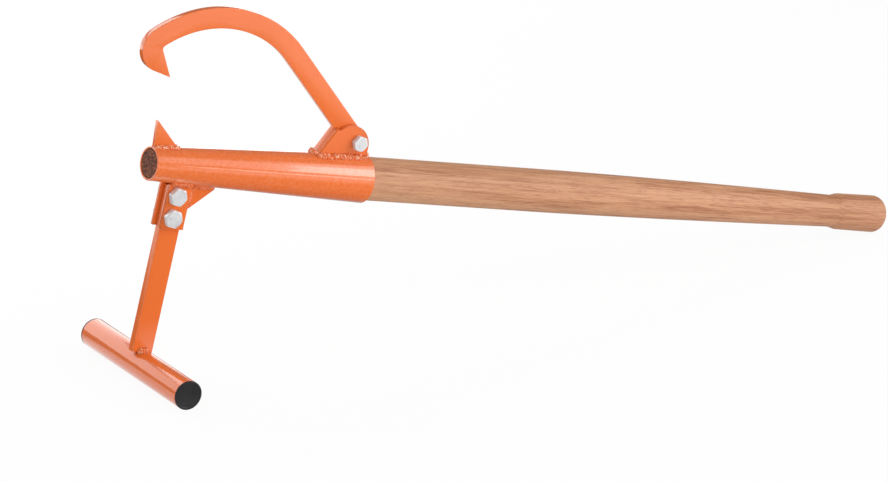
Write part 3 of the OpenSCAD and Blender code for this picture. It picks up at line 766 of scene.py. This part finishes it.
def plastic():
    """Moulded black plastic: nearly black, matt, with a fine spark-eroded grain."""
    b = Finish("black_moulded_plastic", {"Specular IOR Level": 0.5})
    colour = b.blend(b.between(b.noise(60, 3), 0.3, 0.7), *PLASTIC_TONES)
    grain = b.noise(2600, 2)
    return b.finished(colour, b.between(grain, 0.3, 0.7, 0.5, 0.62), grain, 0.2, 0.0002)


def cap_shape(outwards):
    """A profile turned about the bar: the plug, the rim over the tube's end, the dish, the plug's hollow."""
    face = BAR_LENGTH / 2
    plug = BAR_RADIUS - BAR_WALL - PLUG_PLAY
    rim = rounded([[bar_half, plug], [bar_half, BAR_RADIUS], [face, BAR_RADIUS], [face, BAR_RADIUS - CAP_RIM],
                   [face - CAP_DISH, BAR_RADIUS - CAP_RIM_FOOT], [face - CAP_DISH, CAP_DISH_MIDDLE]],
                  [0, CAP_SEAT_ROUND, CAP_ROUND, CAP_RIM_ROUND, CAP_RIM_ROUND, 0])[:-1]
    y = np.concatenate([[bar_half - PLUG_LENGTH, bar_half - PLUG_LENGTH], rim[:, 0], [face - CAP_DISH],
                        [bar_half, bar_half]])
    r = np.concatenate([[plug - PLUG_WALL, plug], rim[:, 1], [0], [0, plug - PLUG_WALL]])
    return shell(turned(outwards * y, r, bar_middle, **crosswise), joined=True)


black_plastic = plastic()
piece("near_cap", [cap_shape(-1)], black_plastic, ["foot_cap_near"])
piece("far_cap", [cap_shape(1)], black_plastic, ["foot_cap_far"])

# Weld beads
# Hand-laid fillet welds along every joint, painted over: each is a row of overlapping ripples.
# The beads at the spike, the hook bracket and the foot bar have pale painted glints on them.
BEAD = 0.0038
SMALL_BEAD = 0.0030
LEG_BEAD = 0.004
BEAD_OUT, BEAD_UP, BEAD_BACK = 0.2, 0.3, 0.4
BEAD_SHORT = 0.001
TOE_UP = 0.1
REAR_BEAD = 0.85
GUSSET_BEAD_SHORT = 0.003
RIPPLE_PITCH = 0.0038
RIPPLE_DEPTH = 0.18
RIPPLE_LEAN, RIPPLE_SHIFT = 1.2, 1.2
RIPPLE_POINTS, LUMPS_PER_RIPPLE = 14, 1.3
LUMP_DEPTH = 0.20
LUMP_TURNS = (0, 1, 2, 3, 5)
LUMP_PHASE = 6.3
BEAD_LOOPS, BEAD_AROUND, BEAD_KNOTS = 30, 32, 4
CORNER_POINTS, LINE_POINTS = 30, 20
# How much of the painted edge highlight the weld beads carry.
BEAD_MARK = 0.6
askew = across + 0.3 * along
random = np.random.default_rng(5)


def weld(path, radius):
    """A tube along the path whose radius ripples once a pitch, is lumpy at random and closes at its ends.

    Radius = bead (1 + depth cos(2 pi distance / pitch + shift + lean cos t) + lumps) sqrt(1 - (1 - end)^2),
    where lumps are random waves cos(k t) and end goes from 0 to 1 over a bead's radius from each end.
    """
    reach = np.concatenate([[0], np.cumsum(np.linalg.norm(np.diff(path, axis=0), axis=1))])
    ripples = reach[-1] / RIPPLE_PITCH
    d = np.linspace(0, reach[-1], max(int(ripples * RIPPLE_POINTS), BEAD_LOOPS))
    centre = np.stack([np.interp(d, reach, path[:, i]) for i in range(3)], 1)
    ahead = np.gradient(centre, d, axis=0)
    ahead /= np.linalg.norm(ahead, axis=1)[:, None]
    side = np.cross(ahead, askew)
    side /= np.linalg.norm(side, axis=1)[:, None]
    other = np.cross(ahead, side)
    t = np.linspace(0, 2 * np.pi, BEAD_AROUND, endpoint=False)
    knots = np.linspace(0, reach[-1], max(int(ripples * LUMPS_PER_RIPPLE), BEAD_KNOTS))
    lumps = sum(np.interp(d, knots, random.uniform(-LUMP_DEPTH, LUMP_DEPTH, len(knots)))[:, None]
                * np.cos(k * t + random.uniform(0, LUMP_PHASE)) for k in LUMP_TURNS)
    shift = np.interp(d, knots, random.uniform(-RIPPLE_SHIFT, RIPPLE_SHIFT, len(knots)))[:, None]
    ripple = RIPPLE_DEPTH * np.cos(2 * np.pi * d[:, None] / RIPPLE_PITCH + shift + RIPPLE_LEAN * np.cos(t))
    near_end = np.clip(np.minimum(d, reach[-1] - d) / radius, 0, 1)[:, None]
    r = radius * (1 + ripple + lumps) * np.sqrt(1 - (1 - near_end) ** 2)
    ring = np.cos(t)[:, None] * side[:, None] + np.sin(t)[:, None] * other[:, None]
    return shell(centre[:, None] + r[..., None] * ring, BEAD_MARK)


def cone_weld(start, end, y, rise, radius):
    """A weld along the corner between the cone and an upright face at y, on top or underneath."""
    s = np.linspace(start, end, CORNER_POINTS)
    out = y + np.sign(y) * radius * BEAD_OUT
    return weld(on_tool(s, out, rise * (cone_height(s, out) + radius * BEAD_UP)), radius)


def line_weld(start, end, radius):
    """A straight weld from start to end, each a place along, across and upward."""
    return weld(on_tool(*np.linspace(start, end, LINE_POINTS).T), radius)


# Both weld coats carry pale painted glints: a few in the first, many in the second.
weld_paint = paint("orange_coat_on_weld", 1.5, 1.0, 0.12)
glinting_paint = paint("orange_coat_with_painted_glints", 1.5, 1.0, 0.75)
spike_beads = [cone_weld(SPIKE_BLUNT, SPIKE_FOOT + SMALL_BEAD, side * SPIKE_THICKNESS / 2, 1, SMALL_BEAD)
               for side in (-1, 1)]
piece("spike_bead", spike_beads, glinting_paint, ["spike_weld"], crease=180)

wall_start = (wall_foot - wall_up * (wall_foot[1] - NOSE_RADIUS) / wall_up[1])[0]
wall_base = (wall_start * np.tan(WALL_ANGLE)) / (np.tan(WALL_ANGLE) - CONE_SLOPE)
ear_beads = []
for side in (-1, 1):
    ear_beads.append(cone_weld(wall_base - BEAD / 2, EAR_REAR - BEAD_SHORT, side * bracket_side, 1, BEAD))
    rear_s, rear_y = EAR_REAR + BEAD * BEAD_BACK, side * (BRACKET_WIDTH - PLATE) / 2
    rear_h = cone_height(EAR_REAR, bracket_side)
    ear_beads.append(line_weld((rear_s, rear_y, rear_h), (rear_s, rear_y, rear_h + 2 * BEAD),
                               BEAD * REAR_BEAD))
piece("ear_bead", ear_beads, glinting_paint, ["hook_bracket_weld"], crease=180)

toe_s, toe_y = wall_base - BEAD * BEAD_BACK, bracket_side - BEAD_SHORT
toe_h = cone_height(wall_base, 0) + BEAD * TOE_UP - BEAD_SHORT
piece("toe_bead", [line_weld((toe_s, -toe_y, toe_h), (toe_s, toe_y, toe_h), BEAD)],
      glinting_paint, ["hook_bracket_toe_weld"], crease=180)

channel_beads = [cone_weld(CHANNEL_REAR - depth + LIP_CORNER / 2, CHANNEL_REAR - CHANNEL_BEND / 2,
                           side * channel_side, -1, SMALL_BEAD)
                 for side, depth in zip((-1, 1), lip_depths)]
piece("channel_bead", channel_beads, weld_paint, ["foot_bracket_weld"], crease=180)

gusset_s = CHANNEL_REAR + SMALL_BEAD * BEAD_OUT
gusset_beads = []
for side in (-1, 1):
    y = side * (PLATE / 2 + SMALL_BEAD * BEAD_OUT)
    gusset_beads.append(cone_weld(CHANNEL_REAR + SMALL_BEAD, gusset_end - GUSSET_BEAD_SHORT,
                                  side * PLATE / 2, -1, SMALL_BEAD))
    gusset_beads.append(line_weld((gusset_s, y, -cone_height(CHANNEL_REAR, y) - SMALL_BEAD),
                                  (gusset_s, y, -GUSSET_DROP + 2 * GUSSET_BLUNT), SMALL_BEAD))
piece("gusset_bead", gusset_beads, weld_paint, ["gusset_weld"], crease=180)

leg_beads = []
for side in (-1, 1):
    y = side * (LEG_THICKNESS / 2 + LEG_BEAD * BEAD_OUT)
    leg_beads.append(line_weld((leg_front + LEG_WIDTH / 4, y, BAR_RADIUS - BAR_DROP),
                               (leg_rear - LEG_WIDTH / 4, y, BAR_RADIUS - BAR_DROP), LEG_BEAD))
piece("leg_bead", leg_beads, glinting_paint, ["leg_weld"], crease=180)

# Camera
# A long lens, high and to the left of the nose, as the photograph was taken.
# Its place and turns were fitted to the tool's outlines in the photograph.
FOCAL_PIXELS = 7318.7
IMAGE_WIDTH = 888
SENSOR = 36.0
CAMERA_PLACE = (-4.8860, -7.6359, 3.5302)
AZIMUTH, ELEVATION, ROLL = np.radians([-32.003, 20.813, 1.436])
backwards = np.array([np.sin(AZIMUTH) * np.cos(ELEVATION), -np.cos(AZIMUTH) * np.cos(ELEVATION),
                      np.sin(ELEVATION)])
level_right = np.array([np.cos(AZIMUTH), np.sin(AZIMUTH), 0])
level_up = np.cross(level_right, -backwards)
right = np.cos(ROLL) * level_right + np.sin(ROLL) * level_up
top = np.cos(ROLL) * level_up - np.sin(ROLL) * level_right


def turned_to(sideways, up, back, place):
    """The matrix that carries x, y and z to those three directions, at that place."""
    return Matrix([[sideways[i], up[i], back[i], place[i]] for i in range(3)] + [[0, 0, 0, 1]])


lens = bpy.data.cameras.new("camera")
lens.sensor_width, lens.lens = SENSOR, FOCAL_PIXELS / IMAGE_WIDTH * SENSOR
lens.clip_end = 100
camera = bpy.data.objects.new("camera", lens)
bpy.context.scene.collection.objects.link(camera)
camera.matrix_world = turned_to(right, top, backwards, CAMERA_PLACE)
bpy.context.scene.camera = camera
bpy.context.scene.view_settings.view_transform = "Standard"

# Studio
# A white floor that keeps a soft shadow, in a pale surround. The key lamps stand where the socket mirrors
# them, with a thin strip below. Two lit cards behind the tool brighten the upper edges of the foot bar and
# the crown, and two fills that no reflection shows light the rest.
FLOOR_SIZE = 40.0
FLOOR_TONES = (0.84, 0.84, 0.84, 1), (0.85, 0.85, 0.85, 1)
FLOOR_WHITENESS = 0.94
NEAR_GLOW, FAR_GLOW = 0.05, 1.0
DARK_IN_FRONT = (-0.35, -0.33, 0.35, 0.90)
DARK_BEHIND = (-1.25, 0.90, 0.75, 1.10)
BRIGHT_UNDER_BAR = (-0.60, 0.02, 0.20, 0.12)
SURROUND_LIGHT = 0.50
SURROUND_REFLECTED = 0.15
LAMP_DISTANCE = 3.4
KEY_ANGLE, STRIP_ANGLE = np.radians([29.0, 14.2])
UPPER_TURN, DIM_END_TURN = 0.06, 0.03


def floor_finish():
    """White to the camera but for a shadow. In reflections it is dark before and behind the tool and bright
    under the foot bar, by the distances to three places.
    """
    f = Finish("studio_floor", {"Roughness": 0.9, "Specular IOR Level": 0.1})
    f.put(f.shader, "Base Color", f.blend(f.between(f.noise(3, 2), 0.3, 0.7), *FLOOR_TONES))

    def away(x, y, none_at, full_at):
        """A share that goes from 0 at the first distance from a place to 1 at the second."""
        distance = f.node("VectorMath", {"operation": "DISTANCE"}, {0: f.place, 1: (x, y, 0)}, "Value")
        return f.between(distance, none_at, full_at)

    reflected = f.node("LightPath", {}, {}, "Is Glossy Ray")
    shade = away(*DARK_IN_FRONT) * away(*DARK_BEHIND)
    lit = away(*BRIGHT_UNDER_BAR) * (1 - shade) + shade
    tone = f.blend(reflected, (1, 1, 1, 1), f.between(lit, 0, 1, NEAR_GLOW, FAR_GLOW))
    glow = f.node("Emission", {}, {"Color": tone, "Strength": 1.0})
    seen = f.node("LightPath", {}, {}, "Is Camera Ray")
    mixed = f.node("MixShader", {}, {0: seen * FLOOR_WHITENESS + reflected,
                                     1: Wire(f, f.shader.outputs[0]), 2: glow})
    f.put(f.tree.nodes["Material Output"], "Surface", mixed)
    return f.material


floor_mesh = bpy.data.meshes.new("floor")
corners = np.array([(-1, -1, 0), (1, -1, 0), (1, 1, 0), (-1, 1, 0)]) * FLOOR_SIZE
floor_mesh.from_pydata(corners.tolist(), [], [(0, 1, 2, 3)])
floor_mesh.materials.append(floor_finish())
floor = bpy.data.objects.new("floor", floor_mesh)
bpy.context.scene.collection.objects.link(floor)
socket_mouth = on_tool(SOCKET_LENGTH, 0.0, 0.0)


def mirrored(angle):
    """The place that the socket's mouth mirrors to the camera where its skin leans up by the angle: the
    lamp's distance along 2 (n.v) n - v.
    """
    view = np.array(CAMERA_PLACE) - socket_mouth
    view /= np.linalg.norm(view)
    normal = np.sin(angle) * upward - np.cos(angle) * across
    return socket_mouth + LAMP_DISTANCE * (2 * (normal @ view) * normal - view)


def soft_light(name, place, shift, width, height, power, reflected):
    """A rectangular lamp that faces the socket, its width along the tool and moved that far along itself."""
    lamp = bpy.data.lights.new(name, "AREA")
    lamp.shape, lamp.size, lamp.size_y, lamp.energy = "RECTANGLE", width, height, power
    made = bpy.data.objects.new(name, lamp)
    bpy.context.scene.collection.objects.link(made)
    facing = np.array(place) - socket_mouth
    facing /= np.linalg.norm(facing)
    wide = along - (along @ facing) * facing
    wide /= np.linalg.norm(wide)
    made.matrix_world = turned_to(wide, np.cross(facing, wide), facing, np.array(place) + shift * wide)
    made.visible_glossy = reflected


for lamp_sizes in (
        ("key_light", mirrored(KEY_ANGLE), 0.60, 1.6, 1.7, 28, True),
        ("key_light_upper", mirrored(KEY_ANGLE + UPPER_TURN), 0.60, 1.6, 2.6, 24, True),
        ("key_light_dim_end", mirrored(KEY_ANGLE + DIM_END_TURN), -1.00, 1.6, 2.2, 12, True),
        ("strip_light", mirrored(STRIP_ANGLE), 0.2, 2.4, 0.22, 8, True),
        ("low_back_card", (-0.60, 1.15, 0.44), 0.0, 3.0, 0.76, 11.5, True),
        ("high_back_card", (-0.70, 1.15, 1.42), 0.0, 1.4, 0.5, 6, True),
        ("front_fill", (-1.2, -4.0, 0.7), 0.0, 2.6, 1.6, 54, False),
        ("top_fill", (-0.4, 0.2, 2.6), 0.0, 2.4, 2.0, 4, False)):
    soft_light(*lamp_sizes)

world = bpy.data.worlds.new("pale_surround")
bpy.context.scene.world = world
world.use_nodes = True
surround = world.node_tree
background = surround.nodes["Background"]
background.inputs["Color"].default_value = (1, 1, 1, 1)
rays = surround.nodes.new("ShaderNodeLightPath")
level = None
for ray, wanted in (("Is Camera Ray", 1.0), ("Is Glossy Ray", SURROUND_REFLECTED)):
    step = surround.nodes.new("ShaderNodeMath")
    step.operation = "MULTIPLY_ADD"
    surround.links.new(rays.outputs[ray], step.inputs[0])
    step.inputs[1].default_value = wanted - SURROUND_LIGHT
    step.inputs[2].default_value = SURROUND_LIGHT
    if level is not None:
        surround.links.new(level, step.inputs[2])
    level = step.outputs[0]
surround.links.new(level, background.inputs["Strength"])
